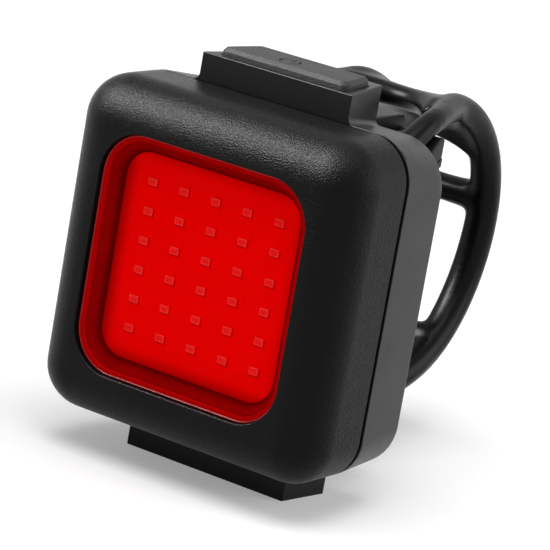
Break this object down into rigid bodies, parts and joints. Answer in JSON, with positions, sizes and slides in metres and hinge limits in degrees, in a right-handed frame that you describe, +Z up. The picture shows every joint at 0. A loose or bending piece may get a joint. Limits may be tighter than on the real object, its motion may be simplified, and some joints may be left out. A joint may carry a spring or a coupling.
{
  "type": "bicycle tail light",
  "caption": "Small square bicycle tail light with a red window over an LED grid, a button on top, a covered charging port below and a ladder strap for a seat post.",
  "frame": {"origin": "middle of the flat foot, the underside of the lower boss round the port cover", "axes": "the lamp shines towards -Y, +Z is up, +X is to the right of someone who looks at the lamp"},
  "size_m": [0.0384, 0.0543, 0.0472],
  "materials": {
    "shell_black": "fine leather grain",
    "rear_black": "satin",
    "seal_black": "matt",
    "screw_steel": "satin",
    "lens_red": "clear red",
    "tray_red": "gloss",
    "board_white": "white solder mask",
    "led_red": "diffuse dome",
    "cell_foil": "foil",
    "foam_grey": "open foam",
    "part_white": "matt",
    "wire_red": "gloss",
    "board_green": "solder mask",
    "chip_black": "matt",
    "cable_amber": "film",
    "port_steel": "satin",
    "rubber_black": "matt",
    "button_rubber": "fine texture",
    "block_black": "satin",
    "strap_silicone": "satin"
  },
  "bodies": {
    "case": {"front_shell": "shell_black", "rear_shell": "rear_black", "case_seal": "seal_black", "case_screws": "screw_steel", "lens": "lens_red", "lens_gasket": "seal_black", "light_tray": "tray_red", "led_board": "board_white", "led_chips": "led_red", "battery_cell": "cell_foil", "battery_foam": "foam_grey", "battery_plug": "part_white", "battery_leads": "wire_red", "control_board": "board_green", "board_screws": "screw_steel", "control_chips": "chip_black", "led_cable": "cable_amber", "usb_socket": "port_steel", "usb_tongue": "chip_black", "cover_pin": "screw_steel", "tact_switch": "port_steel", "stem_seal": "seal_black", "mount_block": "block_black", "bracket_screws": "screw_steel", "saddle_pad": "rubber_black", "strap_pin": "screw_steel"},
    "button": {"power_button": "button_rubber"},
    "plunger": {"switch_plunger": "chip_black"},
    "cover": {"port_cover": "rubber_black"},
    "strap": {"strap_loop": "strap_silicone"},
    "tail": {"strap_tail": "strap_silicone"}
  },
  "joints": [
    {"name": "button_press", "type": "slide", "parent": "case", "child": "button", "axis": [0, 0, -1], "range_m": [0, 0.00045], "stiffness_N_per_m": 400, "springref_m": -0.0008},
    {"name": "plunger_press", "type": "slide", "parent": "case", "child": "plunger", "axis": [0, 0, -1], "range_m": [0, 0.00045]},
    {"name": "cover_swing", "type": "hinge", "parent": "case", "child": "cover", "pos_m": [0.0084, 0, 0.0009], "axis": [0, -1, 0], "range_deg": [0, 95]},
    {"name": "strap_swing", "type": "hinge", "parent": "case", "child": "strap", "pos_m": [0, 0.0091, 0.0392], "axis": [1, 0, 0], "range_deg": [0, 20], "stiffness_Nm_per_rad": 0.01, "springref_deg": -17.19},
    {"name": "tail_peel", "type": "hinge", "parent": "strap", "child": "tail", "pos_m": [0, 0.0197, 0.0075], "axis": [1, 0, 0], "range_deg": [0, 120]}
  ],
  "couplings": [
    {"joint": "plunger_press", "follows": "button_press", "ratio": 1},
    {"joint": "strap_swing", "follows": "tail_peel", "ratio": 0.1666}
  ]
}
